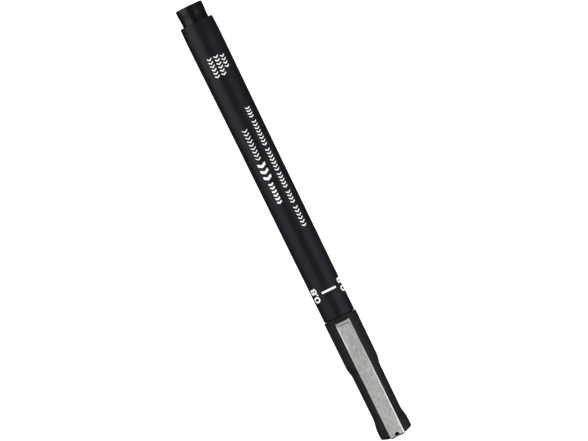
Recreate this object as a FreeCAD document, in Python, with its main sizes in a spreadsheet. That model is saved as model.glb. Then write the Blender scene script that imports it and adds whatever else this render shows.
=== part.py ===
import FreeCAD, Part
import os
import re
import Sketcher

# Capped pigment fineliner, lying on its side with the pocket clip on top.
#
# Every piece is drawn in pen stations: X runs along the pen from the tail face (0) to the closed end
# of the cap, Y is across and Z is up, both measured from the pen's axis. Each body's Placement then
# moves the axis up by the barrel's largest radius and centres the length, so that the row origin is
# under the middle of the pen, on the surface that it lies on. All sizes are in millimetres.

DIMENSIONS = (
    ("overall_length", 138.0, "tail face to the outside of the clip's bend"),
    # tail plug
    ("stub_length", 5.2, "visible stub behind the barrel"),
    ("stub_radius", 4.15, "lip that a posted cap grips"),
    ("stub_waist_radius", 4.0, "undercut between the lip and the barrel"),
    ("stub_lip_length", 2.2, "length of the full-size lip"),
    ("stub_edge_round", 0.4, "rounding of the tail face"),
    ("plug_radius", 4.02, "spigot inside the barrel"),
    ("plug_bore_radius", 2.9, "hollow of the plug"),
    ("plug_face_thickness", 1.3, "closed tail face of the plug"),
    ("plug_groove_radius", 3.8, "relief grooves of the spigot"),
    ("plug_groove_width", 1.2, "width of one relief groove"),
    ("plug_groove_pitch", 2.4, "distance from groove to groove"),
    ("stop_tube_radius", 3.5, "tube that pushes on the reservoir"),
    ("stop_tube_end", 21.6, "front end of that tube"),
    # barrel
    ("barrel_tail_radius", 5.08, "outside, at the tail"),
    ("barrel_max_radius", 5.21, "outside, at its fullest"),
    ("barrel_max_station", 9.5, "where the barrel is fullest"),
    ("barrel_mid_radius", 4.975, "outside, where the taper eases"),
    ("barrel_mid_station", 42.0, "where the taper eases"),
    ("barrel_front_radius", 4.765, "outside, at the cap"),
    ("barrel_front", 99.6, "shoulder that the cap stops against"),
    ("barrel_edge_round", 0.2, "rounding of both outer edges"),
    ("plug_seat_radius", 4.05, "bore that takes the tail plug"),
    ("plug_seat_end", 14.0, "end of that bore"),
    ("barrel_bore_rear", 3.98, "bore radius behind, with draft"),
    ("barrel_bore_front", 3.7, "bore radius in front, with draft"),
    ("rib_start", 24.0, "rear end of the centring ribs"),
    ("rib_length", 74.0, "length of the centring ribs"),
    ("rib_width", 0.7, "thickness of a centring rib"),
    ("rib_radius", 3.36, "inner face of the centring ribs"),
    ("rib_count", 6, "centring ribs round the bore"),
    ("neck_radius", 4.2, "outside of the neck inside the cap"),
    ("neck_end", 112.0, "front end of the neck"),
    ("neck_bore_radius", 3.48, "bore that takes the nib holder"),
    ("neck_bore_start", 100.5, "rear end of that bore"),
    ("snap_radius", 4.24, "low snap bead round the neck"),
    ("snap_station", 104.0, "middle of the snap bead"),
    ("snap_half_width", 0.7, "half of the bead's foot"),
    # nib holder
    ("holder_rear", 101.5, "rear end of the nib holder"),
    ("holder_radius", 3.45, "spigot inside the neck"),
    ("holder_bore_radius", 2.6, "hollow of the spigot"),
    ("holder_bore_end", 110.5, "bottom of that hollow"),
    ("flange_radius", 4.0, "flange that stops on the neck"),
    ("flange_thickness", 1.0, "thickness of the flange"),
    ("land_radius", 2.85, "cylinder that the inner cap seals on"),
    ("land_end", 119.0, "front end of that cylinder"),
    ("cone_rear_radius", 2.35, "cone, where it starts"),
    ("cone_front_radius", 1.15, "cone, at the pipe"),
    ("cone_end", 125.6, "front end of the cone"),
    ("pipe_seat_radius", 0.67, "hole that grips the pipe"),
    ("pipe_seat_start", 117.5, "bottom of that hole"),
    ("feed_bore_radius", 0.47, "hole for the nib behind the pipe"),
    ("air_slot_width", 0.9, "breather slot along the spigot"),
    ("air_slot_depth", 0.4, "depth of the breather slot"),
    # pipe and nib
    ("pipe_radius", 0.65, "outside of the steel pipe"),
    ("pipe_bore_radius", 0.46, "inside of the steel pipe"),
    ("pipe_start", 117.6, "rear end of the pipe"),
    ("pipe_end", 128.9, "front end of the pipe"),
    ("pipe_chamfer", 0.12, "bevel of the pipe's mouth"),
    ("nib_radius", 0.43, "rod of the nib"),
    ("nib_start", 92.0, "rear end of the nib, in the reservoir"),
    ("nib_tip_radius", 0.4, "writing tip, for a 0.8 mm line"),
    ("nib_tip_start", 129.1, "where the nib narrows"),
    ("nib_end", 130.3, "end of the writing tip"),
    ("nib_tip_round", 0.3, "rounding of the writing tip"),
    # reservoir
    ("reservoir_start", 21.8, "rear end of the fibre rod"),
    ("reservoir_end", 101.2, "front end of the fibre rod"),
    ("reservoir_radius", 3.2, "outside of the fibre rod"),
    ("reservoir_hole_radius", 0.45, "hole that the nib runs in"),
    ("reservoir_hole_start", 91.5, "bottom of that hole"),
    ("film_inner_radius", 3.22, "inside of the film sleeve"),
    ("film_outer_radius", 3.32, "outside of the film sleeve"),
    ("film_inset", 0.5, "bare fibre at each end"),
    # cap shell
    ("cap_rim", 99.66, "open end of the cap"),
    ("cap_rim_radius", 5.05, "outside, at the rim"),
    ("cap_rim_round", 0.2, "rounding of the rim"),
    ("collar_end", 114.7, "where the collar ends"),
    ("collar_end_radius", 4.955, "outside, at the end of the collar"),
    ("waist_start", 116.6, "rear end of the waist"),
    ("waist_start_radius", 4.435, "outside, at the waist's rear end"),
    ("waist_end", 131.2, "front end of the waist"),
    ("waist_end_radius", 4.35, "outside, at the waist's front end"),
    ("head_start", 133.3, "rear end of the cap's head"),
    ("head_start_radius", 4.84, "outside, at the head's rear end"),
    ("head_radius", 4.925, "outside, at the head's fullest"),
    ("head_full_station", 135.9, "where the head is fullest"),
    ("head_edge", 137.0, "where the end cone starts"),
    ("head_edge_radius", 4.87, "outside, where the end cone starts"),
    ("cap_end", 137.75, "closed end of the cap"),
    ("end_face_radius", 2.95, "flat part of the closed end"),
    ("waist_round", 1.2, "rounding of the waist's four edges"),
    ("head_edge_round", 0.4, "rounding of the head's outer edge"),
    ("cap_bore_radius", 4.28, "bore over the neck"),
    ("cap_bore_end", 113.9, "end of that bore"),
    ("snap_groove_radius", 4.33, "groove for the snap bead"),
    ("inner_seat_radius", 3.55, "bore that takes the inner cap"),
    ("inner_seat_start", 114.8, "open end of that bore"),
    ("inner_seat_end", 134.2, "bottom of that bore"),
    ("vent_inner", 2.2, "vent slots, inner side from the axis"),
    ("vent_outer", 2.9, "vent slots, outer side from the axis"),
    ("vent_half_width", 0.6, "half of a vent slot's width"),
    ("vent_count", 3, "vent slots through the closed end"),
    # inner cap
    ("inner_cap_start", 115.0, "open end of the inner cap"),
    ("inner_cap_end", 133.9, "closed end of the inner cap"),
    ("inner_cap_radius", 3.52, "outside of its collar and ribs"),
    ("inner_collar_end", 122.2, "front end of its collar"),
    ("inner_cup_radius", 2.6, "outside of its cup between the ribs"),
    ("seal_bore_radius", 2.9, "bore that seals on the land"),
    ("seal_bore_end", 119.8, "bottom of that bore"),
    ("cone_room_radius", 2.5, "room for the cone, at its rear"),
    ("cone_room_end", 121.5, "where that room starts to narrow"),
    ("tip_room_radius", 1.6, "room for the pipe and the nib"),
    ("tip_room_start", 126.0, "rear end of that room"),
    ("tip_room_end", 131.6, "bottom of that room"),
    ("inner_rib_width", 0.9, "thickness of a rib of the inner cap"),
    ("inner_rib_count", 4, "ribs round the inner cap"),
    ("air_groove_half_width", 0.6, "half of an air groove's width"),
    ("air_groove_floor", 3.2, "floor of the air grooves, from the axis"),
    ("air_groove_count", 4, "air grooves across the collar"),
    # clip
    ("clip_width", 4.5, "width of the steel strip"),
    ("clip_thickness", 0.38, "sheet thickness"),
    ("clip_top", 6.05, "top of the strip above the axis"),
    ("clip_free_end", 101.2, "free end of the clip"),
    ("clip_crest", 102.03, "crease where the clip bears on the cap"),
    ("clip_crest_top", 5.48, "top of the strip at the crease"),
    ("clip_lip_top", 5.9, "top of the turned-up lip"),
    ("clip_ramp_end", 113.0, "where the strip becomes level"),
    ("clip_bend_radius", 0.55, "outer radius of the bend"),
    ("flange_depth", 0.75, "depth of the folded edges from the top"),
    ("flange_run_out", 1.6, "length over which they run out"),
    ("toe_low", 3.3, "underside of the toe above the axis"),
    ("toe_width", 2.6, "width of the toe"),
    ("toe_rear", 135.2, "rear end of the toe"),
    ("toe_slack", 0.16, "room round the toe in its slot"),
    ("seat_floor", 137.5, "floor of the slot for the clip's tab"),
    ("seat_slack", 0.1, "room at each side of that slot"),
    ("notch_radius", 0.75, "round hole at the clip's bend"),
    ("notch_station", 137.3, "centre of that hole"),
    ("notch_depth", 1.1, "how far down the tab the notch goes"),
    ("nub_half_width", 0.65, "half of the locating nub's width"),
    ("nub_rear", 136.4, "rear end of the locating nub"),
    ("nub_top", 5.5, "top of the locating nub"),
    ("tool_margin", 0.5, "how far cutting outlines overshoot"),
)

doc = FreeCAD.newDocument("fineliner")
sheet = doc.addObject("Spreadsheet::Sheet", "dims")
for row, (alias, number, meaning) in enumerate(DIMENSIONS, start=1):
    sheet.set(f"A{row}", meaning)
    sheet.set(f"B{row}", str(number))
    sheet.setAlias(f"B{row}", alias)
doc.recompute()


def bound(text):
    """The expression for a size written with the sheet's names, such as "neck_end - 0.3"."""
    return re.sub(r"[a-z_]+", r"dims.\g<0>", text)


def value(text):
    """The present number of such a size."""
    return float(sheet.evalExpression(bound(text)))


def new_body(name):
    """An empty body with its name as its label, placed so that the pen lies on the row's floor."""
    body = doc.addObject("PartDesign::Body", name)
    body.Label = name
    body.setExpression("Placement.Base.x", bound("-overall_length / 2"))
    body.setExpression("Placement.Base.z", bound("barrel_max_radius"))
    return body


def new_sketch(body, name, role, station=None):
    """A sketch on one of the body's own origin planes, moved along its normal by station."""
    plane = next(part for part in body.Origin.OriginFeatures if part.Role == role)
    sketch = body.newObject("Sketcher::SketchObject", name)
    sketch.AttachmentSupport = [(plane, "")]
    sketch.MapMode = "FlatFace"
    if station is not None:
        sketch.setExpression("AttachmentOffset.Base.z", bound(station))
    return sketch


def pin_point(sketch, edge, end, across, up):
    """Ties one point of the sketch to its two sizes; a zero ties it to the sketch's axis."""
    for kind, axis, text in (("DistanceX", -2, across), ("DistanceY", -1, up)):
        if text == "0":
            sketch.addConstraint(Sketcher.Constraint("PointOnObject", edge, end, axis))
            continue
        index = sketch.addConstraint(Sketcher.Constraint(kind, -1, 1, edge, end, value(text)))
        sketch.setExpression(f"Constraints[{index}]", bound(text))


def outline(body, name, corners, role="XZ_Plane", station=None):
    """A closed outline of straight edges through the given corners."""
    sketch = new_sketch(body, name, role, station)
    places = [FreeCAD.Vector(value(across), value(up), 0) for across, up in corners]
    count = len(places)
    for index, place in enumerate(places):
        sketch.addGeometry(Part.LineSegment(place, places[(index + 1) % count]))
    for index in range(count):
        sketch.addConstraint(Sketcher.Constraint("Coincident", index, 2, (index + 1) % count, 1))
    for index, (across, up) in enumerate(corners):
        pin_point(sketch, index, 1, across, up)
    return sketch


def rectangle(body, name, role, across, up, station=None):
    """A rectangle from its two sizes across and its two sizes up."""
    left, right = across
    low, high = up
    corners = ((left, low), (right, low), (right, high), (left, high))
    return outline(body, name, corners, role, station)


def turned(body, name, corners, cut=False):
    """The outline turned once round the pen's axis: new material, or a cut."""
    sketch = outline(body, name + "_outline", corners)
    feature = body.newObject("PartDesign::Groove" if cut else "PartDesign::Revolution", name)
    feature.Profile = sketch
    feature.ReferenceAxis = (sketch, ["H_Axis"])
    feature.Angle = 360
    return feature


def extruded(body, name, sketch, length, cut=False, symmetric=False, reversed_way=False):
    """The sketch pushed along its normal by length: new material, or a cut."""
    feature = body.newObject("PartDesign::Pocket" if cut else "PartDesign::Pad", name)
    feature.Profile = sketch
    feature.setExpression("Length", bound(length))
    feature.Reversed = reversed_way
    if symmetric:
        feature.SideType = "Symmetric"
    return feature


def ring_of(body, name, feature, count):
    """Repeats a feature evenly round the pen's axis."""
    pattern = body.newObject("PartDesign::PolarPattern", name)
    pattern.Originals = [feature]
    pattern.Axis = (feature.Profile[0], ["N_Axis"])
    pattern.Angle = 360
    pattern.setExpression("Occurrences", bound(count))
    body.Tip = pattern
    return pattern


def rounded(body, name, radius, is_wanted):
    """Rounds the edges of the body's last feature that the test picks."""
    doc.recompute()
    base = body.Tip
    edges = [f"Edge{number}" for number, edge in enumerate(base.Shape.Edges, start=1) if is_wanted(edge)]
    if not edges:
        raise RuntimeError(f"{name}: no edge to round")
    fillet = body.newObject("PartDesign::Fillet", name)
    fillet.Base = (base, edges)
    fillet.setExpression("Radius", bound(radius))
    return fillet


def on_rings(*rings):
    """A test for full circles about the pen's axis at any of the (station, radius) pairs."""
    wanted = [(value(station), value(radius)) for station, radius in rings]

    def test(edge):
        if not isinstance(edge.Curve, Part.Circle) or len(edge.Vertexes) != 1:
            return False
        centre = edge.Curve.Center
        return any(abs(centre.x - station) < 0.01 and abs(edge.Curve.Radius - radius) < 0.01
                   and abs(centre.z) < 0.01 for station, radius in wanted)

    return test


def across_edges(*places):
    """A test for straight edges that run across the pen at any of the (station, height) pairs."""
    wanted = [(value(station), value(height)) for station, height in places]

    def test(edge):
        if not isinstance(edge.Curve, Part.Line) or abs(abs(edge.tangentAt(0).y) - 1) > 0.01:
            return False
        point = edge.Vertexes[0].Point
        return any(abs(point.x - station) < 0.02 and abs(point.z - height) < 0.02
                   for station, height in wanted)

    return test


def make_barrel():
    """Tapered tube with a neck in front, a snap bead on the neck and centring ribs in the bore."""
    body = new_body("barrel")
    turned(body, "tube", (
        ("stub_length", "plug_seat_radius"),
        ("stub_length", "barrel_tail_radius"),
        ("barrel_max_station", "barrel_max_radius"),
        ("barrel_mid_station", "barrel_mid_radius"),
        ("barrel_front", "barrel_front_radius"),
        ("barrel_front", "neck_radius"),
        ("snap_station - snap_half_width", "neck_radius"),
        ("snap_station", "snap_radius"),
        ("snap_station + snap_half_width", "neck_radius"),
        ("neck_end - 0.3", "neck_radius"),
        ("neck_end", "neck_radius - 0.3"),
        ("neck_end", "neck_bore_radius"),
        ("neck_bore_start", "neck_bore_radius"),
        ("neck_bore_start", "barrel_bore_front"),
        ("plug_seat_end", "barrel_bore_rear"),
        ("plug_seat_end", "plug_seat_radius"),
    ))
    rounded(body, "edge_rounds", "barrel_edge_round", on_rings(
        ("stub_length", "barrel_tail_radius"), ("barrel_front", "barrel_front_radius")))
    section = rectangle(body, "rib_section", "YZ_Plane", ("-rib_width / 2", "rib_width / 2"),
                        ("rib_radius", "barrel_bore_rear + 0.2"), "rib_start")
    rib = extruded(body, "rib", section, "rib_length")
    ring_of(body, "ribs", rib, "rib_count")
    return body


def make_tail_plug():
    """Hollow plug: a stub with a lip, a grooved spigot and a tube that holds the reservoir forward."""
    body = new_body("tail_plug")
    turned(body, "plug", (
        ("0", "0"),
        ("0", "stub_radius"),
        ("stub_lip_length", "stub_radius"),
        ("stub_lip_length + 0.8", "stub_waist_radius"),
        ("stub_length", "stub_waist_radius"),
        ("stub_length + 0.4", "plug_radius"),
        ("plug_seat_end - 0.2", "plug_radius"),
        ("plug_seat_end - 0.2", "stop_tube_radius"),
        ("stop_tube_end", "stop_tube_radius"),
        ("stop_tube_end", "plug_bore_radius"),
        ("plug_face_thickness", "plug_bore_radius"),
        ("plug_face_thickness", "0"),
    ))
    rounded(body, "tail_round", "stub_edge_round", on_rings(("0", "stub_radius")))
    groove = turned(body, "relief", (
        ("stub_length + 1.4", "plug_groove_radius"),
        ("stub_length + 1.4 + plug_groove_width", "plug_groove_radius"),
        ("stub_length + 1.4 + plug_groove_width", "plug_radius + tool_margin"),
        ("stub_length + 1.4", "plug_radius + tool_margin"),
    ), cut=True)
    grooves = body.newObject("PartDesign::LinearPattern", "reliefs")
    grooves.Originals = [groove]
    grooves.Direction = (groove.Profile[0], ["H_Axis"])
    grooves.setExpression("Length", bound("2 * plug_groove_pitch"))
    grooves.Occurrences = 3
    body.Tip = grooves
    return body


def make_nib_holder():
    """Front moulding: spigot, flange, sealing land and cone, bored through for the pipe and the nib."""
    body = new_body("nib_holder")
    turned(body, "moulding", (
        ("holder_rear", "holder_bore_radius"),
        ("holder_rear", "holder_radius"),
        ("neck_end", "holder_radius"),
        ("neck_end", "flange_radius"),
        ("neck_end + flange_thickness", "flange_radius"),
        ("neck_end + flange_thickness", "land_radius"),
        ("land_end", "land_radius"),
        ("land_end + 0.4", "cone_rear_radius"),
        ("cone_end", "cone_front_radius"),
        ("cone_end", "pipe_seat_radius"),
        ("pipe_seat_start", "pipe_seat_radius"),
        ("pipe_seat_start", "feed_bore_radius"),
        ("holder_bore_end", "feed_bore_radius"),
        ("holder_bore_end", "holder_bore_radius"),
    ))
    rounded(body, "edge_rounds", "0.2", on_rings(
        ("neck_end + flange_thickness", "flange_radius"), ("cone_end", "cone_front_radius")))
    section = rectangle(body, "air_section", "YZ_Plane", ("-air_slot_width / 2", "air_slot_width / 2"),
                        ("holder_radius - air_slot_depth", "flange_radius + tool_margin"), "holder_rear")
    slot = extruded(body, "air_slot", section, "neck_end + flange_thickness - holder_rear",
                    cut=True, reversed_way=True)
    ring_of(body, "air_slots", slot, "2")
    return body


def make_nib_pipe():
    """Plain steel tube with a bevelled mouth."""
    body = new_body("nib_pipe")
    turned(body, "tube", (
        ("pipe_start", "pipe_bore_radius"),
        ("pipe_start", "pipe_radius"),
        ("pipe_end - pipe_chamfer", "pipe_radius"),
        ("pipe_end", "pipe_radius - pipe_chamfer"),
        ("pipe_end", "pipe_bore_radius"),
    ))
    return body


def make_nib():
    """Plastic rod from the reservoir to the rounded writing tip."""
    body = new_body("nib")
    turned(body, "rod", (
        ("nib_start", "0"),
        ("nib_start + 0.6", "nib_radius"),
        ("nib_tip_start", "nib_radius"),
        ("nib_tip_start + 0.1", "nib_tip_radius"),
        ("nib_end", "nib_tip_radius"),
        ("nib_end", "0"),
    ))
    rounded(body, "tip_round", "nib_tip_round", on_rings(("nib_end", "nib_tip_radius")))
    return body


def make_ink_reservoir():
    """Fibre rod with a hole in front for the nib."""
    body = new_body("ink_reservoir")
    turned(body, "fibre", (
        ("reservoir_start", "0"),
        ("reservoir_start", "reservoir_radius"),
        ("reservoir_end", "reservoir_radius"),
        ("reservoir_end", "reservoir_hole_radius"),
        ("reservoir_hole_start", "reservoir_hole_radius"),
        ("reservoir_hole_start", "0"),
    ))
    return body


def make_reservoir_film():
    """Thin sleeve round the fibre rod."""
    body = new_body("reservoir_film")
    turned(body, "sleeve", (
        ("reservoir_start + film_inset", "film_inner_radius"),
        ("reservoir_start + film_inset", "film_outer_radius"),
        ("reservoir_end - film_inset", "film_outer_radius"),
        ("reservoir_end - film_inset", "film_inner_radius"),
    ))
    return body


def make_cap_shell():
    """Outer cap: collar, waist and flared head, with the seat, slot and nub that hold the clip."""
    body = new_body("cap_shell")
    turned(body, "shell", (
        ("cap_rim", "cap_bore_radius"),
        ("cap_rim", "cap_rim_radius"),
        ("collar_end", "collar_end_radius"),
        ("waist_start", "waist_start_radius"),
        ("waist_end", "waist_end_radius"),
        ("head_start", "head_start_radius"),
        ("head_full_station", "head_radius"),
        ("head_edge", "head_edge_radius"),
        ("cap_end", "end_face_radius"),
        ("cap_end", "0"),
        ("inner_seat_end", "0"),
        ("inner_seat_end", "inner_seat_radius"),
        ("inner_seat_start", "inner_seat_radius"),
        ("cap_bore_end", "cap_bore_radius"),
    ))
    rounded(body, "waist_rounds", "waist_round", on_rings(
        ("collar_end", "collar_end_radius"), ("waist_start", "waist_start_radius"),
        ("waist_end", "waist_end_radius"), ("head_start", "head_start_radius")))
    rounded(body, "rim_round", "cap_rim_round", on_rings(("cap_rim", "cap_rim_radius")))
    rounded(body, "head_round", "head_edge_round", on_rings(("head_edge", "head_edge_radius")))
    turned(body, "snap_groove", (
        ("snap_station - snap_half_width", "cap_bore_radius - tool_margin"),
        ("snap_station - snap_half_width", "cap_bore_radius"),
        ("snap_station", "snap_groove_radius"),
        ("snap_station + snap_half_width", "cap_bore_radius"),
        ("snap_station + snap_half_width", "cap_bore_radius - tool_margin"),
    ), cut=True)
    seat = rectangle(body, "tab_seat_section", "YZ_Plane",
                     ("-clip_width / 2 - seat_slack", "clip_width / 2 + seat_slack"),
                     ("toe_low - 2 * toe_slack", "head_radius + tool_margin"), "seat_floor")
    extruded(body, "tab_seat", seat, "tool_margin", cut=True, reversed_way=True)
    toe = rectangle(body, "toe_slot_section", "YZ_Plane",
                    ("-toe_width / 2 - toe_slack", "toe_width / 2 + toe_slack"),
                    ("toe_low - toe_slack", "toe_low + clip_thickness + toe_slack"),
                    "toe_rear - toe_slack")
    extruded(body, "toe_slot", toe, "cap_end - toe_rear", cut=True, reversed_way=True)
    vent_section = rectangle(body, "vent_section", "YZ_Plane", ("-vent_half_width", "vent_half_width"),
                             ("-vent_outer", "-vent_inner"), "inner_seat_end - tool_margin")
    vent = extruded(body, "vent", vent_section, "cap_end - inner_seat_end + 2 * tool_margin",
                    cut=True, reversed_way=True)
    ring_of(body, "vents", vent, "vent_count")
    nub = rectangle(body, "nub_section", "YZ_Plane", ("-nub_half_width", "nub_half_width"),
                    ("toe_low + clip_thickness + toe_slack", "nub_top"), "nub_rear")
    extruded(body, "nub", nub, "seat_floor - nub_rear")
    return body


def make_inner_cap():
    """Soft cup that seals on the nib holder, held off the shell by ribs that let air past."""
    body = new_body("inner_cap")
    turned(body, "cup", (
        ("inner_cap_start", "seal_bore_radius + 0.25"),
        ("inner_cap_start", "inner_cap_radius"),
        ("inner_collar_end", "inner_cap_radius"),
        ("inner_collar_end", "inner_cup_radius"),
        ("inner_cap_end", "inner_cup_radius"),
        ("inner_cap_end", "0"),
        ("tip_room_end", "0"),
        ("tip_room_end", "tip_room_radius"),
        ("tip_room_start", "tip_room_radius"),
        ("cone_room_end", "cone_room_radius"),
        ("seal_bore_end", "cone_room_radius"),
        ("seal_bore_end", "seal_bore_radius"),
        ("inner_cap_start + 0.4", "seal_bore_radius"),
    ))
    rib_section = rectangle(body, "rib_section", "YZ_Plane",
                            ("-inner_rib_width / 2", "inner_rib_width / 2"),
                            ("inner_cup_radius - 0.3", "inner_cap_radius"), "inner_collar_end - 0.3")
    rib = extruded(body, "rib", rib_section, "inner_cap_end - inner_collar_end")
    ring_of(body, "ribs", rib, "inner_rib_count")
    groove_section = rectangle(body, "air_section", "YZ_Plane",
                               ("inner_rib_width", "inner_rib_width + 2 * air_groove_half_width"),
                               ("air_groove_floor", "inner_cap_radius + tool_margin"),
                               "inner_cap_start - tool_margin")
    groove = extruded(body, "air_groove", groove_section,
                      "inner_collar_end - inner_cap_start + 2 * tool_margin", cut=True, reversed_way=True)
    ring_of(body, "air_grooves", groove, "air_groove_count")
    return body


def make_clip():
    """Pressed strip: turned-up lip, folded edges, bend with its notch, and a tab with a narrow toe."""
    body = new_body("clip")
    strip = outline(body, "strip_outline", (
        ("clip_free_end", "clip_lip_top"),
        ("clip_crest", "clip_crest_top"),
        ("clip_ramp_end", "clip_top"),
        ("overall_length", "clip_top"),
        ("overall_length", "toe_low"),
        ("overall_length - clip_thickness", "toe_low"),
        ("overall_length - clip_thickness", "clip_top - clip_thickness"),
        ("clip_ramp_end", "clip_top - clip_thickness"),
        ("clip_crest", "clip_crest_top - clip_thickness"),
        ("clip_free_end", "clip_lip_top - clip_thickness"),
    ))
    extruded(body, "strip", strip, "clip_width", symmetric=True)
    rounded(body, "outer_bend", "clip_bend_radius", across_edges(("overall_length", "clip_top")))
    rounded(body, "inner_bend", "clip_bend_radius - clip_thickness", across_edges(
        ("overall_length - clip_thickness", "clip_top - clip_thickness")))
    fold = outline(body, "fold_outline", (
        ("clip_free_end + flange_run_out / 2", "clip_crest_top - clip_thickness / 2"),
        ("clip_crest + flange_run_out", "clip_crest_top - flange_depth + 0.1"),
        ("clip_ramp_end", "clip_top - flange_depth"),
        ("overall_length - flange_run_out", "clip_top - flange_depth"),
        ("overall_length - clip_bend_radius", "clip_top - clip_thickness / 2"),
        ("clip_ramp_end", "clip_top - clip_thickness / 2"),
        ("clip_crest", "clip_crest_top - clip_thickness / 2"),
    ), station="clip_width / 2 - clip_thickness")
    flange = extruded(body, "folded_edge", fold, "clip_thickness")
    both = body.newObject("PartDesign::Mirrored", "folded_edges")
    both.Originals = [flange]
    both.MirrorPlane = (next(p for p in body.Origin.OriginFeatures if p.Role == "XZ_Plane"), [""])
    body.Tip = both
    toe = rectangle(body, "toe_outline", "XZ_Plane", ("toe_rear", "overall_length - clip_thickness / 2"),
                    ("toe_low", "toe_low + clip_thickness"))
    extruded(body, "toe", toe, "toe_width", symmetric=True)
    above = "clip_top + tool_margin"
    hole = new_sketch(body, "notch_circle", "XY_Plane", above)
    centre = FreeCAD.Vector(value("notch_station"), 0, 0)
    hole.addGeometry(Part.Circle(centre, FreeCAD.Vector(0, 0, 1), value("notch_radius")))
    pin_point(hole, 0, 3, "notch_station", "0")
    size = hole.addConstraint(Sketcher.Constraint("Radius", 0, value("notch_radius")))
    hole.setExpression(f"Constraints[{size}]", bound("notch_radius"))
    extruded(body, "notch_round", hole, "notch_depth + tool_margin", cut=True)
    slot = rectangle(body, "notch_slot", "XY_Plane", ("notch_station", "overall_length + tool_margin"),
                     ("-notch_radius", "notch_radius"), above)
    extruded(body, "notch", slot, "notch_depth + tool_margin", cut=True)
    return body


def check(item):
    """Stops if an object of the document failed to compute."""
    if {"Invalid", "Error"} & set(item.State):
        raise RuntimeError(f"{item.Label}: {item.State}")


def write_step(body):
    """Writes one sub-part under its own label, if its shape is sound."""
    shape = body.Shape
    if shape.isNull() or not shape.isValid() or not shape.Solids:
        raise RuntimeError(f"{body.Label}: bad shape")
    shape.exportStep(f"parts/{body.Label}.step")
    box = shape.BoundBox
    print(f"{body.Label:15s} {len(shape.Solids)} solid {shape.Volume:9.2f} mm3"
          f"  x {box.XMin:.2f}..{box.XMax:.2f}  y {box.YMin:.2f}..{box.YMax:.2f}"
          f"  z {box.ZMin:.2f}..{box.ZMax:.2f}")


bodies = [
    make_barrel(),
    make_tail_plug(),
    make_nib_holder(),
    make_nib_pipe(),
    make_nib(),
    make_ink_reservoir(),
    make_reservoir_film(),
    make_cap_shell(),
    make_inner_cap(),
    make_clip(),
]
doc.recompute()
for item in doc.Objects:
    check(item)
os.makedirs("parts", exist_ok=True)
for body in bodies:
    write_step(body)
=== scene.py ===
import math

import bmesh
import bpy
from mathutils import Matrix, Vector
from mathutils.geometry import tessellate_polygon


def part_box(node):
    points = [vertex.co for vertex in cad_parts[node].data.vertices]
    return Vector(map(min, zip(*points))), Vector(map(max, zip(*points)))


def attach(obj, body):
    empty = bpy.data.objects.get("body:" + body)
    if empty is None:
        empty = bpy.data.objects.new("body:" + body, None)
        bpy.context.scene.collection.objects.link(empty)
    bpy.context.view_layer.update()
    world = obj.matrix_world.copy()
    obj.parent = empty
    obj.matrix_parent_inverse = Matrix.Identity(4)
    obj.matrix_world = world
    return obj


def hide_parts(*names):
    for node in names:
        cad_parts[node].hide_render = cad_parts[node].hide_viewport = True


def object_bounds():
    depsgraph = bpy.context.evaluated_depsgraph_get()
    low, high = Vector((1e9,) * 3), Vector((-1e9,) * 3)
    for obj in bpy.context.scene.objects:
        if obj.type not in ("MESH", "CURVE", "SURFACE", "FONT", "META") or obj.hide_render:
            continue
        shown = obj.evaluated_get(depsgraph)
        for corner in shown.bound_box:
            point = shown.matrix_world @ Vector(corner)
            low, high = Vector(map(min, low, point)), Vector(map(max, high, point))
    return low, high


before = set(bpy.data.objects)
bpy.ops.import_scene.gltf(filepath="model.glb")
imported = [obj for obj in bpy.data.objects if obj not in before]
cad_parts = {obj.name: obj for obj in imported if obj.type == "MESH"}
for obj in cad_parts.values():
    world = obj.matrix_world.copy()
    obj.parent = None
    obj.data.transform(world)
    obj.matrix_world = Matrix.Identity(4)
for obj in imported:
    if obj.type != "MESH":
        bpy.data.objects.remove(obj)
cad_low, cad_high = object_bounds()

# Pen stations run along +X from the tail face, in millimetres, and heights are measured from the
# pen's axis. The tail, the axis and the ends of the pieces come from the frame.
MM = 0.001
TAIL_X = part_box("tail_plug")[0].x
AXIS_Z = (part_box("nib_pipe")[0].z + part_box("nib_pipe")[1].z) / 2


def station(x):
    """The pen station in millimetres of a place along the row's X axis."""
    return (x - TAIL_X) / MM


BARREL_TAIL = station(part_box("barrel")[0].x)
NECK_END = station(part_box("barrel")[1].x)
NIB_REAR = station(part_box("nib")[0].x)
NIB_END = station(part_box("nib")[1].x)
CAP_RIM = station(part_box("cap_shell")[0].x)
CAP_END = station(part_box("cap_shell")[1].x)
CLIP_FREE_END = station(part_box("clip")[0].x)
CLIP_BEND = station(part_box("clip")[1].x)
CLIP_TOP = (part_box("clip")[1].z - AXIS_Z) / MM
TOE_LOW = (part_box("clip")[0].z - AXIS_Z) / MM
CLIP_WIDTH = (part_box("clip")[1].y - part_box("clip")[0].y) / MM

# Sizes and places that more than one piece or material uses.
SEAM = 0.12
BARREL_FRONT = CAP_RIM - SEAM
SNAP_STATION = 104.0
SNAP_HALF = 0.7
CREASE = CLIP_FREE_END + 0.86
CLIP_THICKNESS = 0.38
NOTCH_STATION = CLIP_BEND - 0.7
NOTCH_RADIUS = 0.75


# ---------------------------------------------------------------- mesh helpers

TURN_STEPS = 144
SHARP_ANGLE = math.radians(32)

# A stretch of outline longer than LONG_RUN gets points about INNER_RUN apart, and one at GUARD from
# each end.
LONG_RUN = 0.5
INNER_RUN = 3.0
GUARD = 0.06


def place(along, height, angle=0.0):
    """The row-frame point at a station, a distance from the axis and an angle from +Z towards +Y."""
    across, up = height * math.sin(angle), height * math.cos(angle)
    return Vector((TAIL_X + along * MM, across * MM, AXIS_Z + up * MM))


def beside(along, across, height):
    """The row-frame point at a station, a distance across the pen and a height above its axis."""
    return place(along, 0) + Vector((0, across, height)) * MM


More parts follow.
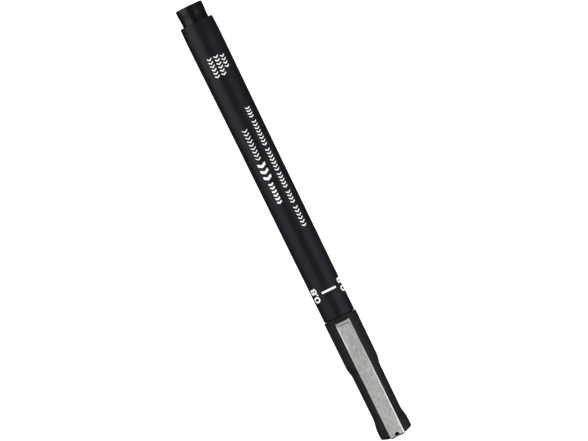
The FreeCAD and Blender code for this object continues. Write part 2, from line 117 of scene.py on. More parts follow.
def softened(corners, closed=True, steps=7):
    """The points of an outline from its corners, each (along, height) or with a third number: how far
    from the corner its rounding starts. The points added to long stretches keep their shading flat."""
    count = len(corners)
    points = []
    for index, corner in enumerate(corners):
        here = Vector(corner[:2])
        inside = closed or 0 < index < count - 1
        if len(corner) < 3 or not inside:
            points.append(here)
            continue
        before = Vector(corners[index - 1][:2]) - here
        after = Vector(corners[(index + 1) % count][:2]) - here
        reach = min(corner[2], 0.48 * before.length, 0.48 * after.length)
        first = here + before.normalized() * reach
        last = here + after.normalized() * reach
        for step in range(steps + 1):
            u = step / steps
            points.append((1 - u) ** 2 * first + 2 * u * (1 - u) * here + u ** 2 * last)
    guarded = []
    for index, point in enumerate(points):
        guarded.append(point)
        if not closed and index == len(points) - 1:
            break
        run = points[(index + 1) % len(points)] - point
        if run.length > LONG_RUN:
            inner = max(1, round(run.length / INNER_RUN))
            near = GUARD / run.length
            cuts = [near] + [k / inner for k in range(1, inner)] + [1 - near]
            guarded += [point + run * cut for cut in cuts]
    return guarded


def finished(name, bm, material):
    """An object from a bmesh, smooth apart from its sharp edges. Its faces are turned outwards in
    millimetres, because on thin plates that goes wrong in metres."""
    bmesh.ops.scale(bm, verts=bm.verts, vec=(1 / MM,) * 3)
    bmesh.ops.recalc_face_normals(bm, faces=bm.faces)
    bmesh.ops.scale(bm, verts=bm.verts, vec=(MM,) * 3)
    mesh = bpy.data.meshes.new(name)
    bm.to_mesh(mesh)
    bm.free()
    mesh.materials.append(material)
    mesh.polygons.foreach_set("use_smooth", [True] * len(mesh.polygons))
    mesh.set_sharp_from_angle(angle=SHARP_ANGLE)
    piece = bpy.data.objects.new(name, mesh)
    bpy.context.scene.collection.objects.link(piece)
    return piece


def lathe(name, corners, material):
    """A closed solid turned about the pen's axis from a closed outline. Corners on the axis make one
    point each, and points there that no face uses are dropped."""
    bm = bmesh.new()
    rings = []
    for along, height in softened(corners):
        if height < 1e-6:
            rings.append([bm.verts.new(place(along, 0.0))])
            continue
        turns = [2 * math.pi * k / TURN_STEPS for k in range(TURN_STEPS)]
        rings.append([bm.verts.new(place(along, height, turn)) for turn in turns])
    for index, ring in enumerate(rings):
        other = rings[(index + 1) % len(rings)]
        if len(ring) == 1 and len(other) == 1:
            continue
        for k in range(TURN_STEPS):
            n = (k + 1) % TURN_STEPS
            loop = [ring[k % len(ring)], ring[n % len(ring)], other[n % len(other)], other[k % len(other)]]
            bm.faces.new(list(dict.fromkeys(loop)))
    for vert in [vert for vert in bm.verts if not vert.link_faces]:
        bm.verts.remove(vert)
    return finished(name, bm, material)


def block(low, high):
    """A box between two (station, across, height) corners, for cutting or joining."""
    bm = bmesh.new()
    bmesh.ops.create_cube(bm, size=1.0)
    low, high = Vector(low), Vector(high)
    middle, size = (low + high) / 2, high - low
    for vert in bm.verts:
        spot = middle + Vector(vert.co[k] * size[k] for k in range(3))
        vert.co = beside(*spot)
    return bm


def pressed(loop, low, high):
    """A solid with a (station, across) outline, from one height to another."""
    bm = bmesh.new()
    floor = [bm.verts.new(beside(along, across, low)) for along, across in loop]
    roof = [bm.verts.new(beside(along, across, high)) for along, across in loop]
    bm.faces.new(floor)
    bm.faces.new(roof)
    for k in range(len(loop)):
        n = (k + 1) % len(loop)
        bm.faces.new((floor[k], floor[n], roof[n], roof[k]))
    return bm


def combined(piece, tools, merge_mm=0.0001):
    """Cuts each (kind, solid) of tools from the piece or joins it on. Points nearer than merge_mm
    become one."""
    for kind, bm in tools:
        tool = finished("tool", bm, piece.data.materials[0])
        step = piece.modifiers.new("step", "BOOLEAN")
        step.operation = kind
        step.solver = "EXACT"
        step.object = tool
        bpy.context.view_layer.update()
        graph = bpy.context.evaluated_depsgraph_get()
        mesh = bpy.data.meshes.new_from_object(piece.evaluated_get(graph))
        piece.modifiers.remove(step)
        piece.data = mesh
        bpy.data.objects.remove(tool)
    bm = bmesh.new()
    bm.from_mesh(piece.data)
    bmesh.ops.remove_doubles(bm, verts=bm.verts, dist=merge_mm * MM)
    bmesh.ops.dissolve_degenerate(bm, edges=bm.edges, dist=merge_mm * MM)
    bm.to_mesh(piece.data)
    bm.free()
    piece.data.polygons.foreach_set("use_smooth", [True] * len(piece.data.polygons))
    piece.data.set_sharp_from_angle(angle=SHARP_ANGLE)


# ---------------------------------------------------------------- materials

class Shader:
    """A Principled material, with short calls for the nodes that the pen's surfaces share."""

    def __init__(self, name, base, roughness, metallic=0.0, **sockets):
        self.material = bpy.data.materials.new(name)
        self.material.use_nodes = True
        self.tree = self.material.node_tree
        self.bsdf = self.tree.nodes["Principled BSDF"]
        self.bsdf.inputs["Base Color"].default_value = (*base, 1)
        self.bsdf.inputs["Roughness"].default_value = roughness
        self.bsdf.inputs["Metallic"].default_value = metallic
        for socket, number in sockets.items():
            self.bsdf.inputs[socket.replace("_", " ")].default_value = number
        self.base = base
        self.coords = self.tree.nodes.new("ShaderNodeTexCoord").outputs["Object"]

    def noise(self, size_mm, stretch=(1, 1, 1), detail=3.0, rough=0.55):
        """Noise whose grains are about size_mm, made longer along the axes with a larger stretch."""
        mapping = self.tree.nodes.new("ShaderNodeMapping")
        mapping.inputs["Scale"].default_value = [1 / (size_mm * MM * k) for k in stretch]
        self.tree.links.new(self.coords, mapping.inputs["Vector"])
        noise = self.tree.nodes.new("ShaderNodeTexNoise")
        noise.inputs["Scale"].default_value = 1.0
        noise.inputs["Detail"].default_value = detail
        noise.inputs["Roughness"].default_value = rough
        self.tree.links.new(mapping.outputs["Vector"], noise.inputs["Vector"])
        return noise.outputs["Fac"]

    def spread(self, value, low, high, start=0.3, stop=0.7):
        """The value between start and stop mapped to low and high."""
        node = self.tree.nodes.new("ShaderNodeMapRange")
        for socket, number in (("From Min", start), ("From Max", stop), ("To Min", low), ("To Max", high)):
            node.inputs[socket].default_value = number
        self.tree.links.new(value, node.inputs["Value"])
        return node.outputs["Result"]

    def tint(self, value, dark, light):
        """Base colour from dark to light times the base, by value."""
        ramp = self.tree.nodes.new("ShaderNodeValToRGB")
        for element, position, share in zip(ramp.color_ramp.elements, (0.3, 0.7), (dark, light)):
            element.position = position
            element.color = (*[channel * share for channel in self.base], 1)
        self.tree.links.new(value, ramp.inputs["Fac"])
        self.tree.links.new(ramp.outputs["Color"], self.bsdf.inputs["Base Color"])

    def sums(self, kind, first, second=None):
        """A math node on one or two values."""
        node = self.tree.nodes.new("ShaderNodeMath")
        node.operation = kind
        for socket, value in zip(node.inputs, (first, second)):
            if isinstance(value, (int, float)):
                socket.default_value = value
            elif value is not None:
                self.tree.links.new(value, socket)
        return node.outputs[0]

    def axis(self, letter):
        """The object's own coordinate along an axis, in metres."""
        node = self.tree.nodes.new("ShaderNodeSeparateXYZ")
        self.tree.links.new(self.coords, node.inputs["Vector"])
        return node.outputs[letter]

    def away_from(self, point):
        """The distance in metres from a point of the object."""
        node = self.tree.nodes.new("ShaderNodeVectorMath")
        node.operation = "DISTANCE"
        self.tree.links.new(self.coords, node.inputs[0])
        node.inputs[1].default_value = point
        return node.outputs["Value"]

    def change(self, socket, mask, target):
        """Takes what a socket gets over to a target colour or number where the mask is 1."""
        is_number = isinstance(target, (int, float))
        mix = self.tree.nodes.new("ShaderNodeMix")
        mix.data_type = "FLOAT" if is_number else "RGBA"
        kind = "VALUE" if is_number else "RGBA"
        before, after = [plug for plug in mix.inputs if plug.name in ("A", "B") and plug.type == kind]
        result = next(plug for plug in mix.outputs if plug.type == kind)
        after.default_value = target if is_number else (*target, 1)
        self.tree.links.new(mask, mix.inputs["Factor"])
        self.tree.links.new(self.bsdf.inputs[socket].links[0].from_socket, before)
        self.tree.links.new(result, self.bsdf.inputs[socket])

    def roughen(self, value, low, high):
        """Roughness from low to high, by value."""
        self.tree.links.new(self.spread(value, low, high), self.bsdf.inputs["Roughness"])

    def bump(self, *layers):
        """Stacked bumps, each (value, height in millimetres, strength)."""
        normal = None
        for value, height_mm, strength in layers:
            node = self.tree.nodes.new("ShaderNodeBump")
            node.inputs["Strength"].default_value = strength
            node.inputs["Distance"].default_value = height_mm * MM
            self.tree.links.new(value, node.inputs["Height"])
            if normal is not None:
                self.tree.links.new(normal, node.inputs["Normal"])
            normal = node.outputs["Normal"]
        self.tree.links.new(normal, self.bsdf.inputs["Normal"])


def barrel_plastic():
    """Satin black moulding with a cool sheen: faint flow marks and a fine eroded grain."""
    s = Shader("barrel_black", (0.0036, 0.0040, 0.0058), 0.4, IOR=1.41, Specular_IOR_Level=0.31)
    s.bsdf.inputs["Specular Tint"].default_value = (0.92, 0.96, 1.0, 1)
    flow = s.noise(2.5, stretch=(6, 1, 1), detail=2)
    grain = s.noise(0.35, detail=4, rough=0.6)
    s.tint(grain, 0.6, 1.4)
    s.roughen(s.noise(0.6, detail=4), 0.30, 0.52)
    s.bump((flow, 0.006, 0.35), (grain, 0.022, 0.7), (s.noise(0.1, detail=2), 0.004, 0.4))
    return s.material


def tail_plastic():
    """Glossier black moulding, rubbed by the cap that is pushed on it."""
    s = Shader("tail_black", (0.0032, 0.0033, 0.0039), 0.22, IOR=1.46, Specular_IOR_Level=0.25)
    s.bsdf.inputs["Specular Tint"].default_value = (0.92, 0.95, 1.0, 1)
    wear = s.noise(0.4, stretch=(5, 1, 1), detail=5, rough=0.65)
    s.tint(wear, 0.6, 1.7)
    s.roughen(wear, 0.20, 0.34)
    s.bump((wear, 0.005, 0.4), (s.noise(0.16, detail=2), 0.006, 0.5))
    return s.material


def cap_plastic():
    """Matte black moulding with a visible spark-eroded grain."""
    s = Shader("cap_black", (0.0054, 0.0053, 0.0047), 0.5, IOR=1.40, Specular_IOR_Level=0.27)
    grain = s.noise(0.3, detail=3, rough=0.6)
    s.tint(grain, 0.4, 1.8)
    s.roughen(s.noise(0.4, detail=3), 0.36, 0.66)
    s.bump((grain, 0.11, 0.9), (s.noise(0.13, detail=2), 0.03, 0.7))
    return s.material


def holder_plastic():
    """Plain satin black moulding of the pen's front."""
    s = Shader("holder_black", (0.0080, 0.0080, 0.0084), 0.38, IOR=1.46)
    s.tint(s.noise(1.2, detail=3), 0.85, 1.15)
    s.roughen(s.noise(0.5, detail=3), 0.33, 0.44)
    s.bump((s.noise(0.14, detail=2), 0.002, 0.35))
    return s.material


def inner_cap_plastic():
    """Natural, slightly milky plastic."""
    s = Shader("inner_cap_white", (0.62, 0.62, 0.59), 0.4, IOR=1.5, Subsurface_Weight=0.15)
    s.bsdf.inputs["Subsurface Scale"].default_value = 0.6 * MM
    s.bsdf.inputs["Subsurface Radius"].default_value = (1.0, 1.0, 0.9)
    s.tint(s.noise(1.5, detail=3), 0.93, 1.05)
    s.roughen(s.noise(0.6, detail=3), 0.34, 0.48)
    s.bump((s.noise(0.2, detail=2), 0.003, 0.3))
    return s.material


def clip_steel():
    """Stainless strip brushed along its length, with a fine uneven mottle. The rolled edges and the rim of
    the notch are smoother, and a painted highlight makes them lighter.
    Painted shade darkens the crease, the lip and the bend."""
    s = Shader("clip_brushed", (0.80, 0.80, 0.775), 0.6, metallic=1.0, Anisotropic=0.95)
    strokes = s.noise(0.12, stretch=(9, 1, 1), detail=3, rough=0.6)
    mottle = s.noise(0.8, stretch=(1.6, 1, 1), detail=4, rough=0.65)
    s.tint(s.sums("ADD", s.spread(strokes, 0.0, 0.5), s.spread(mottle, 0.0, 0.5)), 0.80, 1.13)
    s.roughen(strokes, 0.54, 0.68)
    # Painted shade: a dark line along the crease of the fold.
    from_crease = s.sums("ABSOLUTE", s.sums("SUBTRACT", s.axis("X"), place(CREASE, 0).x))
    s.change("Base Color", s.spread(from_crease, 1, 0, 0.08 * MM, 0.22 * MM), (0.30, 0.30, 0.295))
    # The rolled edges and the notch's rim: a smoother finish, and a lighter colour that is a painted
    # highlight.
    half = CLIP_WIDTH / 2
    from_middle = s.sums("ABSOLUTE", s.axis("Y"))
    edge = s.spread(from_middle, 0, 1, (half - 0.38) * MM, (half - 0.26) * MM)
    from_notch = s.away_from(place(NOTCH_STATION, CLIP_TOP))
    rim = s.spread(from_notch, 1, 0, (NOTCH_RADIUS + 0.03) * MM, (NOTCH_RADIUS + 0.18) * MM)
    polish_and_painted_highlight = s.sums("MAXIMUM", edge, rim)
    s.change("Base Color", polish_and_painted_highlight, (0.97, 0.97, 0.95))
    s.change("Roughness", polish_and_painted_highlight, 0.36)
    # Painted shade: the lip's tilted face is darker.
    lip = s.spread(s.axis("X"), 1, 0, place(CREASE - 0.16, 0).x, place(CREASE - 0.08, 0).x)
    s.change("Base Color", lip, (0.50, 0.50, 0.49))
    # Painted shade: the top of the bend and the upper edge of the tab are darker.
    past = s.spread(s.axis("X"), 0, 1, place(CLIP_BEND - 0.5, 0).x, place(CLIP_BEND - 0.36, 0).x)
    above = s.spread(s.axis("Z"), 0, 1, place(0, CLIP_TOP - 0.8).z, place(0, CLIP_TOP - 0.4).z)
    s.change("Base Color", s.sums("MULTIPLY", past, above), (0.17, 0.17, 0.167))
    s.bump((mottle, 0.010, 0.4), (strokes, 0.004, 0.4))
    across = s.tree.nodes.new("ShaderNodeVectorTransform")
    across.vector_type = "VECTOR"
    across.convert_from, across.convert_to = "OBJECT", "WORLD"
    across.inputs["Vector"].default_value = (0.0, 1.0, 0.1)
    s.tree.links.new(across.outputs["Vector"], s.bsdf.inputs["Tangent"])
    return s.material


def pipe_steel():
    """Drawn stainless tube with fine rings from polishing."""
    s = Shader("pipe_polished", (0.62, 0.62, 0.60), 0.2, metallic=1.0)
    rings = s.noise(0.03, stretch=(1, 30, 30), detail=2)
    s.tint(rings, 0.9, 1.08)
    s.roughen(rings, 0.16, 0.28)
    s.bump((rings, 0.0015, 0.3))
    return s.material


def nib_plastic():
    """Extruded writing rod, stained by the ink."""
    s = Shader("nib_dark", (0.030, 0.029, 0.031), 0.5, IOR=1.48)
    lines = s.noise(0.04, stretch=(30, 1, 1), detail=2)
    s.tint(lines, 0.6, 1.5)
    s.roughen(lines, 0.42, 0.6)
    s.bump((lines, 0.002, 0.4))
    return s.material


def ink_fibre():
    """Bundle of ink-soaked fibres."""
    s = Shader("fibre_inky", (0.020, 0.020, 0.024), 0.7, IOR=1.4)
    fibres = s.noise(0.05, stretch=(60, 1, 1), detail=3, rough=0.7)
    s.tint(fibres, 0.4, 1.8)
    s.roughen(fibres, 0.55, 0.8)
    s.bump((fibres, 0.02, 0.8))
    return s.material


def film_plastic():
    """Thin wrinkled film round the fibres."""
    s = Shader("film_sleeve", (0.20, 0.205, 0.22), 0.25, IOR=1.5)
    creases = s.noise(1.8, stretch=(5, 1, 1), detail=4)
    s.tint(creases, 0.8, 1.15)
    s.roughen(creases, 0.18, 0.34)
    s.bump((creases, 0.03, 0.4))
    return s.material


def print_ink():
    """White pad-printed ink, a little uneven over the plastic's grain."""
    s = Shader("print_white", (0.76, 0.76, 0.75), 0.45, IOR=1.48)
    s.tint(s.noise(0.15, detail=4, rough=0.7), 0.9, 1.05)
    s.roughen(s.noise(0.2, detail=2), 0.38, 0.55)
    s.bump((s.noise(0.1, detail=2), 0.003, 0.3))
    return s.material


# ---------------------------------------------------------------- pen body

BARREL_FLANK = (
    (BARREL_TAIL, 5.08, 0.2),
    (BARREL_TAIL + 4.3, 5.21, 4.0),
    (42.0, 4.975, 28.0),
    (BARREL_FRONT, 4.765, 0.2),
)


def make_barrel(material):
    """Tapered tube with its neck, its snap bead and its bore, wider at the rear for the plug and
    narrower at the front for the nib holder."""
    neck, bead = 4.2, 4.24
    plug_seat, plug_seat_end = 4.05, 14.0
    holder_seat, holder_seat_rear = 3.48, 100.5
    bore_rear, bore_front = 3.98, 3.7
    piece = lathe("barrel_tube", (
        (BARREL_TAIL, plug_seat, 0.1),
        *BARREL_FLANK,
        (BARREL_FRONT, neck, 0.08),
        (SNAP_STATION - SNAP_HALF, neck, 0.4),
        (SNAP_STATION, bead, 0.4),
        (SNAP_STATION + SNAP_HALF, neck, 0.4),
        (NECK_END - 0.3, neck, 0.15),
        (NECK_END, neck - 0.3, 0.12),
        (NECK_END, holder_seat),
        (holder_seat_rear, holder_seat),
        (holder_seat_rear, bore_front),
        (plug_seat_end, bore_rear),
        (plug_seat_end, plug_seat),
    ), material)
    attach(piece, "pen")
    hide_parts("barrel")


def make_tail_plug(material):
    """Stub with a gripping lip and a gate dimple in its face, the hollow spigot inside the barrel, and
    the narrower tube that holds the reservoir forward."""
    lip, waist, spigot, stop_tube, hollow = 4.15, 4.0, 4.02, 3.5, 2.9
    spigot_end, stop_end = 13.8, 21.6
    dimple, face_wall = 0.12, 1.3
    piece = lathe("tail_stub", (
        (dimple, 0.0),
        (dimple, 0.8, 0.1),
        (0.0, 0.95, 0.1),
        (0.0, lip, 0.45),
        (1.6, lip, 1.0),
        (3.4, waist, 1.0),
        (BARREL_TAIL, waist),
        (BARREL_TAIL + 0.4, spigot),
        (spigot_end, spigot),
        (spigot_end, stop_tube),
        (stop_end, stop_tube, 0.15),
        (stop_end, hollow),
        (face_wall, hollow, 0.4),
        (face_wall, 0.0),
    ), material)
    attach(piece, "pen")
    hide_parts("tail_plug")


def make_nib(material):
    """Writing rod: pointed at the rear, a step finer and rounded at the tip."""
    rod, tip = 0.43, 0.4
    piece = lathe("nib_rod", (
        (NIB_REAR, 0.0),
        (NIB_REAR + 0.6, rod, 0.1),
        (NIB_END - 1.2, rod, 0.1),
        (NIB_END - 1.1, tip, 0.1),
        (NIB_END, tip, 0.3),
        (NIB_END, 0.0),
    ), material)
    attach(piece, "pen")
    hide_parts("nib")


def make_cap(material):
    """Outer cap: collar, waist, flared head with a shallow end cone, and inside it the bore that fits
    the neck, a groove for the snap bead and the hollow of the inner cap. In the head are the clip's
    seat, the slot for its toe, the nub that fills its notch, and three vents."""
    bore, groove, hollow, hollow_end = 4.28, 4.33, 3.55, 134.2
    piece = lathe("cap_outer", (
        (CAP_RIM, bore, 0.12),
        (CAP_RIM, 5.05, 0.22),
        (114.7, 4.955, 1.1),
        (116.6, 4.435, 1.3),
        (131.2, 4.35, 1.3),
        (133.3, 4.84, 1.1),
        (135.9, 4.925, 1.2),
        (CAP_END - 0.75, 4.87, 0.4),
        (CAP_END, 2.95, 0.3),
        (CAP_END, 0.0),
        (hollow_end, 0.0),
        (hollow_end, hollow),
        (114.8, hollow),
        (113.9, bore),
        (SNAP_STATION + SNAP_HALF, bore),
        (SNAP_STATION, groove),
        (SNAP_STATION - SNAP_HALF, bore),
    ), material)
    outside, above = CAP_END + 0.5, 5.6
    toe_slack = 0.16
    seat_floor, seat_half, seat_low = CAP_END - 0.25, 2.35, TOE_LOW - 2 * toe_slack
    slot_rear, slot_half = 135.04, 1.46
    slot_low, slot_high = TOE_LOW - toe_slack, TOE_LOW + CLIP_THICKNESS + toe_slack
    nub_rear, nub_half, nub_top = 136.4, 0.65, 5.5
    vent_rear, vent_front, vent_half, vent_low, vent_high = 133.9, CAP_END + 0.3, 0.6, -2.9, -2.2
    tools = [
        ("DIFFERENCE", block((seat_floor, -seat_half, seat_low), (outside, seat_half, above))),
        ("DIFFERENCE", block((slot_rear, -slot_half, slot_low), (outside, slot_half, slot_high))),
        ("UNION", block((nub_rear, -nub_half, slot_high), (seat_floor, nub_half, nub_top))),
    ]
    for k in range(3):
        vent = block((vent_rear, -vent_half, vent_low), (vent_front, vent_half, vent_high))
        turn = Matrix.Rotation(2 * math.pi * k / 3, 4, "X")
        pivot = Matrix.Translation((0, 0, AXIS_Z))
        vent.transform(pivot @ turn @ pivot.inverted())
        tools.append(("DIFFERENCE", vent))
    combined(piece, tools)
    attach(piece, "cap")
    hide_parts("cap_shell")


# ---------------------------------------------------------------- clip

LIP_TOP = 5.9
CREASE_TOP = 5.44
LEVEL_FROM = 113.0
FOLD_DEPTH = 0.37
LEAST_FOLD = 0.012
EDGE_ROUND = 0.34
BEND_REACH = 0.6


def clip_section(drop):
    """The strip's section as (across, depth): rounded outer edges, folded down by drop."""
    half = CLIP_WIDTH / 2
    foot = CLIP_THICKNESS + drop
    quarter = [(EDGE_ROUND * (1 - math.sin(a)), EDGE_ROUND * (1 - math.cos(a)))
               for a in (math.pi / 2 * k / 6 for k in range(7))]
    right = [(half - inset, depth) for inset, depth in quarter] + [(half, foot)]
    flat = [((half - EDGE_ROUND) * k / 4, 0.0) for k in range(-3, 4)]
    left = [(-across, depth) for across, depth in reversed(right)]
    inner = half - CLIP_THICKNESS
    under = [(inner, foot), (inner, CLIP_THICKNESS), (-inner, CLIP_THICKNESS), (-inner, foot)]
    return left + flat + right + under


def fold_at(here):
    """How far the folded edges reach below the strip at a point of its side view: next to nothing at
    the lip, at the bend and on the tab."""
    start, rise_length, fall_length = 0.3, 1.8, 0.9
    rise = (here.x - CLIP_FREE_END - start) / rise_length
    fall = (CLIP_BEND - BEND_REACH - here.x) / fall_length
    on_tab = here.x > LEVEL_FROM and CLIP_TOP - here.y >= CLIP_THICKNESS
    share = 0.0 if on_tab else max(0.0, min(1.0, rise, fall))
    return LEAST_FOLD + FOLD_DEPTH * share


def make_clip(material):
    """Pressed strip swept along its side view, with the toe joined on and the notch cut at the bend."""
    line = softened((
        (CLIP_FREE_END, LIP_TOP),
        (CREASE - 0.12, CREASE_TOP + 0.08, 0.05),
        (CREASE, CREASE_TOP, 0.05),
        (CREASE + 0.12, CREASE_TOP + 0.045, 0.05),
        (LEVEL_FROM, CLIP_TOP, 5.0),
        (CLIP_BEND, CLIP_TOP, BEND_REACH),
        (CLIP_BEND, TOE_LOW),
    ), closed=False, steps=10)
    bm = bmesh.new()
    loops = []
    for index, here in enumerate(line):
        run = line[min(index + 1, len(line) - 1)] - line[max(index - 1, 0)]
        inward = Vector((run.y, -run.x)).normalized()
        loop = []
        for across, depth in clip_section(fold_at(here)):
            spot = here + inward * depth
            loop.append(bm.verts.new(beside(spot.x, across, spot.y)))
        loops.append(loop)
    count = len(loops[0])
    for first, second in zip(loops, loops[1:]):
        for k in range(count):
            n = (k + 1) % count
            bm.faces.new((first[k], first[n], second[n], second[k]))
    for loop in (loops[0], loops[-1]):
        bm.faces.new(loop)
    piece = finished("clip_strip", bm, material)
    toe_half, toe_reach, toe_top = 1.3, 2.8, TOE_LOW + CLIP_THICKNESS
    toe = block((CLIP_BEND - toe_reach, -toe_half, TOE_LOW), (CLIP_BEND - 0.1, toe_half, toe_top))
    arc = [math.pi * (0.5 + k / 16) for k in range(17)]
    notch = [(NOTCH_STATION + NOTCH_RADIUS * math.cos(a), NOTCH_RADIUS * math.sin(a)) for a in arc]
    notch += [(CLIP_BEND + 0.5, -NOTCH_RADIUS), (CLIP_BEND + 0.5, NOTCH_RADIUS)]
    combined(piece, [
        ("UNION", toe),
        ("DIFFERENCE", pressed(notch, CLIP_TOP - 1.1, CLIP_TOP + 0.5)),
    ], merge_mm=0.002)
    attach(piece, "clip")
    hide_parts("clip")


# ---------------------------------------------------------------- printed marks

PRINT_RISE = 0.02
PRINT_ROOT = 0.04
PRINT_STEP = 0.25
FLANK_LINE = softened(BARREL_FLANK, closed=False)


def barrel_radius(along):
    """The barrel's outer radius at a station."""
    for first, second in zip(FLANK_LINE, FLANK_LINE[1:]):
        if first.x <= along <= second.x and second.x > first.x:
            return first.y + (second.y - first.y) * (along - first.x) / (second.x - first.x)
    return FLANK_LINE[-1].y


def rect(left, low, right, high):
    """The outline of a rectangle."""
    return [(left, low), (right, low), (right, high), (left, high)]


def chevron(left, wide, high, stroke):
    """The outline of an arrowhead that points to the left and fills a box."""
    lean = stroke * math.hypot(high / 2, wide) / (high / 2)
    tip, heel = left, left + wide
    return [(tip, 0.0), (heel - lean, -high / 2), (heel, -high / 2), (tip + lean, 0.0),
            (heel, high / 2), (heel - lean, high / 2)]


def chevrons(first, length, count, high, stroke):
    """The outlines of a row of chevrons from first over length."""
    filled = 0.8
    pitch = length / (count - 1 + filled)
    return [chevron(first + pitch * k, filled * pitch, high, stroke) for k in range(count)]


def thickened(bm):
    """The plate between flat faces and a copy of them one unit above."""
    faces = bm.faces[:]
    borders = [edge.verts[:] for edge in bm.edges if edge.is_boundary]
    roof = {vert: bm.verts.new(vert.co + Vector((0, 0, 1))) for vert in bm.verts[:]}
    for face in faces:
        bm.faces.new([roof[vert] for vert in face.verts])
    for first, second in borders:
        bm.faces.new((first, second, roof[second], roof[first]))
    return bm


def printed(name, outlines, along, angle, material):
    """Thin raised ink on the barrel. The outlines are in millimetres, read from the cap towards the
    tail with their tops towards -Y; along and angle place the origin of them all."""
    bm = bmesh.new()
    for outline in outlines:
        flat = [Vector((x, y, 0)) for x, y in outline]
        verts = [bm.verts.new(point) for point in flat]
        for triangle in tessellate_polygon([flat]):
            bm.faces.new([verts[k] for k in triangle])
    wrapped(name, thickened(bm), along, angle, material)


def wrapped(name, bm, along, angle, material):
    """Bends a flat plate, one unit thick, round the barrel, cut often enough to follow its curve."""
    low = min(vert.co.y for vert in bm.verts)
    high = max(vert.co.y for vert in bm.verts)
    lines = int((high - low) / PRINT_STEP)
    for k in range(1, lines):
        cut = low + (high - low) * k / lines
        everything = bm.verts[:] + bm.edges[:] + bm.faces[:]
        bmesh.ops.bisect_plane(bm, geom=everything, plane_co=(0, cut, 0), plane_no=(0, 1, 0), dist=1e-6)
    for vert in bm.verts:
        radius = barrel_radius(along - vert.co.x)
        height = radius - PRINT_ROOT + vert.co.z * (PRINT_ROOT + PRINT_RISE)
        vert.co = place(along - vert.co.x, height, angle - vert.co.y / radius)
    piece = finished(name, bm, material)
    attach(piece, "pen")


def digits(text, height_mm):
    """Generic numerals as a flat plate, one unit thick, centred on the origin."""
    font_height, bolder, spacing, wider = 0.69, 0.025, 0.92, 1.12
    curve = bpy.data.curves.new("numerals", "FONT")
    curve.body = text
    curve.size = height_mm / font_height
    curve.offset = bolder * height_mm
    curve.space_character = spacing
    curve.resolution_u = 5
    holder = bpy.data.objects.new("numerals", curve)
    bpy.context.scene.collection.objects.link(holder)
    bpy.context.view_layer.update()
    flat = holder.evaluated_get(bpy.context.evaluated_depsgraph_get())
    bm = bmesh.new()
    bm.from_mesh(flat.to_mesh())
    bpy.data.objects.remove(holder)
    bmesh.ops.remove_doubles(bm, verts=bm.verts, dist=1e-5)
    middle = [(min(v.co[k] for v in bm.verts) + max(v.co[k] for v in bm.verts)) / 2 for k in range(2)]
    bmesh.ops.translate(bm, verts=bm.verts, vec=(-middle[0], -middle[1], 0))
    bmesh.ops.scale(bm, verts=bm.verts, vec=(wider, 1, 1))
    return thickened(bm)


def make_size_ring(material):
    """Three repeats of the line width and a reference bar round the barrel, near the cap."""
    middle = CAP_RIM - 8.33
    mark_angle, bar_angle = math.radians(-52), math.radians(7)
    half_wide, half_long = 0.31, 2.33
    for k in range(3):
        turn = 2 * math.pi / 3 * k
        wrapped(f"width_mark_{k + 1}", digits("0.8", 2.4), middle, mark_angle + turn, material)
        bar = rect(-half_wide, -half_long, half_wide, half_long)
        printed(f"width_bar_{k + 1}", [bar], middle, bar_angle + turn, material)


def make_weight_row(material):
    """Chevrons along the barrel in three line weights, which point to the nib."""
    outlines = chevrons(0.0, 6.6, 6, high=1.45, stroke=0.36)
    outlines += chevrons(7.5, 5.5, 3, high=2.45, stroke=0.55)
    outlines += chevrons(13.9, 9.7, 9, high=1.6, stroke=0.22)
    printed("weight_chevrons", outlines, 62.9, math.radians(-13), material)


def make_fine_row(material):
    """Fine chevrons in six groups, beside the line weights."""
    groups = ((0.0, 6.5, 6), (7.5, 3.9, 4), (12.4, 4.8, 5), (17.8, 7.1, 7), (25.9, 8.0, 8), (34.8, 3.4, 4))
    outlines = []
    for first, length, count in groups:
        outlines += chevrons(first, length, count, high=1.5, stroke=0.25)
    printed("fine_chevrons", outlines, 71.8, math.radians(30), material)


def make_tail_marks(material):
    """Three short rows of chevrons near the tail."""
    pitch, gap = 1.08, 0.2
    rows = ((-14.6, 22.6, 6), (8.5, 22.6, 6), (30.3, 20.9, 4))
    for row, (angle, first, count) in enumerate(rows):
        marks = chevrons(0.0, pitch * count - gap, count, high=1.4, stroke=0.25)
        printed(f"tail_chevrons_{row + 1}", marks, first, math.radians(angle), material)


# ---------------------------------------------------------------- stage

def area_light(name, spot, tall, wide, power):
    """A soft white panel aimed at the pen, wide along the level, left out of what the camera sees."""
    lamp = bpy.data.lights.new(name, "AREA")
    lamp.shape = "RECTANGLE"
    lamp.size, lamp.size_y = wide, tall
    lamp.energy = power
    holder = bpy.data.objects.new(name, lamp)
    holder.location = spot
    holder.rotation_mode = "QUATERNION"
    holder.rotation_quaternion = Vector(spot).to_track_quat("Z", "Y")
    holder.visible_camera = False
    bpy.context.scene.collection.objects.link(holder)
    return holder


def make_lights():
    """A narrow softbox on each side, a low panel off the cap's end, a dim fill over each corner, and a
    wide one overhead that gives no highlight."""
    area_light("softbox_left", (-0.177, -0.56, 0.33), tall=0.90, wide=0.35, power=2.4)
    area_light("softbox_right", (0.22, 0.518, 0.33), tall=0.90, wide=0.31, power=2.5)
    area_light("panel_end", (0.52, 0.0, 0.37), tall=0.34, wide=1.30, power=0.9)
    for corner, (x, y) in enumerate(((-0.5, -0.4), (-0.5, 0.4), (0.5, -0.4), (0.5, 0.4))):
        area_light(f"corner_fill_{corner + 1}", (x, y, 0.33), tall=0.60, wide=0.45, power=0.6)
    overhead = area_light("ceiling_fill", (0.0, 0.0, 1.3), tall=2.2, wide=2.2, power=19.0)
    overhead.visible_glossy = False


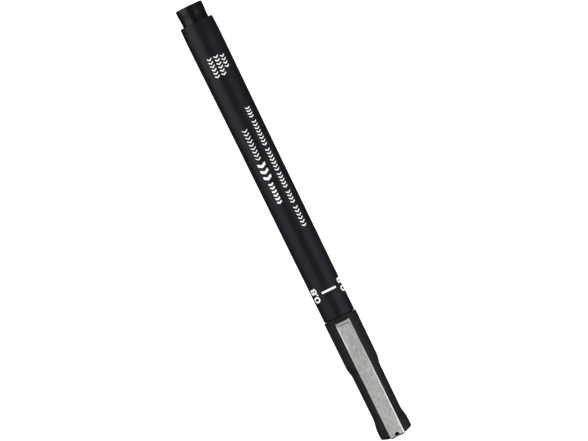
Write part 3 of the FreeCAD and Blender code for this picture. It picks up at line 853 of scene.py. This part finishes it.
def make_floor():
    """A plain pale table top, just under the pen."""
    clearance = 0.05 * MM
    s = Shader("table_pale", (0.86, 0.86, 0.86), 0.7)
    s.tint(s.noise(30, detail=3), 0.985, 1.0)
    s.roughen(s.noise(4, detail=2), 0.65, 0.75)
    s.bsdf.inputs["Emission Color"].default_value = (1, 1, 1, 1)
    s.bsdf.inputs["Emission Strength"].default_value = 0.8
    bm = bmesh.new()
    bmesh.ops.create_grid(bm, x_segments=1, y_segments=1, size=3.0)
    bmesh.ops.translate(bm, verts=bm.verts, vec=(0, 0, -clearance))
    floor = finished("table_top", bm, s.material)
    floor.visible_glossy = False


def make_world():
    """Soft grey room light: dim below and straight above, lightest at mid height."""
    world = bpy.data.worlds.new("studio")
    world.use_nodes = True
    nodes, links = world.node_tree.nodes, world.node_tree.links
    up = nodes.new("ShaderNodeSeparateXYZ")
    links.new(nodes.new("ShaderNodeTexCoord").outputs["Generated"], up.inputs["Vector"])
    ramp = nodes.new("ShaderNodeValToRGB")
    elements = ramp.color_ramp.elements
    for position in (0.12, 0.55, 0.85):
        elements.new(position)
    for element, grey in zip(elements, (0.04, 0.22, 0.25, 0.07, 0.03)):
        element.color = (0.96 * grey, 0.98 * grey, grey, 1)
    links.new(up.outputs["Z"], ramp.inputs["Fac"])
    links.new(ramp.outputs["Color"], nodes["Background"].inputs["Color"])
    bpy.context.scene.world = world


def make_camera():
    """Straight above the pen through a long lens, with the pen running down to the right."""
    lean = math.radians(63.98)
    distance = 2.0
    sensor_mm, picture_mm = 36.0, 169.65
    camera = bpy.data.objects.new("camera", bpy.data.cameras.new("camera"))
    camera.data.sensor_width = sensor_mm
    camera.data.lens = sensor_mm * distance / (picture_mm * MM)
    camera.data.clip_start, camera.data.clip_end = 0.05, 10.0
    aside = Vector((-0.025, 0.3)) * MM
    middle = (cad_low + cad_high) / 2
    camera.location = (middle.x + aside.x, middle.y + aside.y, AXIS_Z + distance)
    camera.rotation_euler = (0, 0, lean)
    bpy.context.scene.collection.objects.link(camera)
    bpy.context.scene.camera = camera
    bpy.context.scene.view_settings.view_transform = "Standard"


make_camera()
make_world()
make_floor()
make_lights()

make_barrel(barrel_plastic())
make_tail_plug(tail_plastic())
make_nib(nib_plastic())
make_cap(cap_plastic())
make_clip(clip_steel())

ink = print_ink()
make_size_ring(ink)
make_weight_row(ink)
make_fine_row(ink)
make_tail_marks(ink)

CAD_FINISHES = {
    "nib_holder": holder_plastic,
    "nib_pipe": pipe_steel,
    "ink_reservoir": ink_fibre,
    "reservoir_film": film_plastic,
    "inner_cap": inner_cap_plastic,
}
for node, finish in CAD_FINISHES.items():
    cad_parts[node].data.materials[0] = finish()
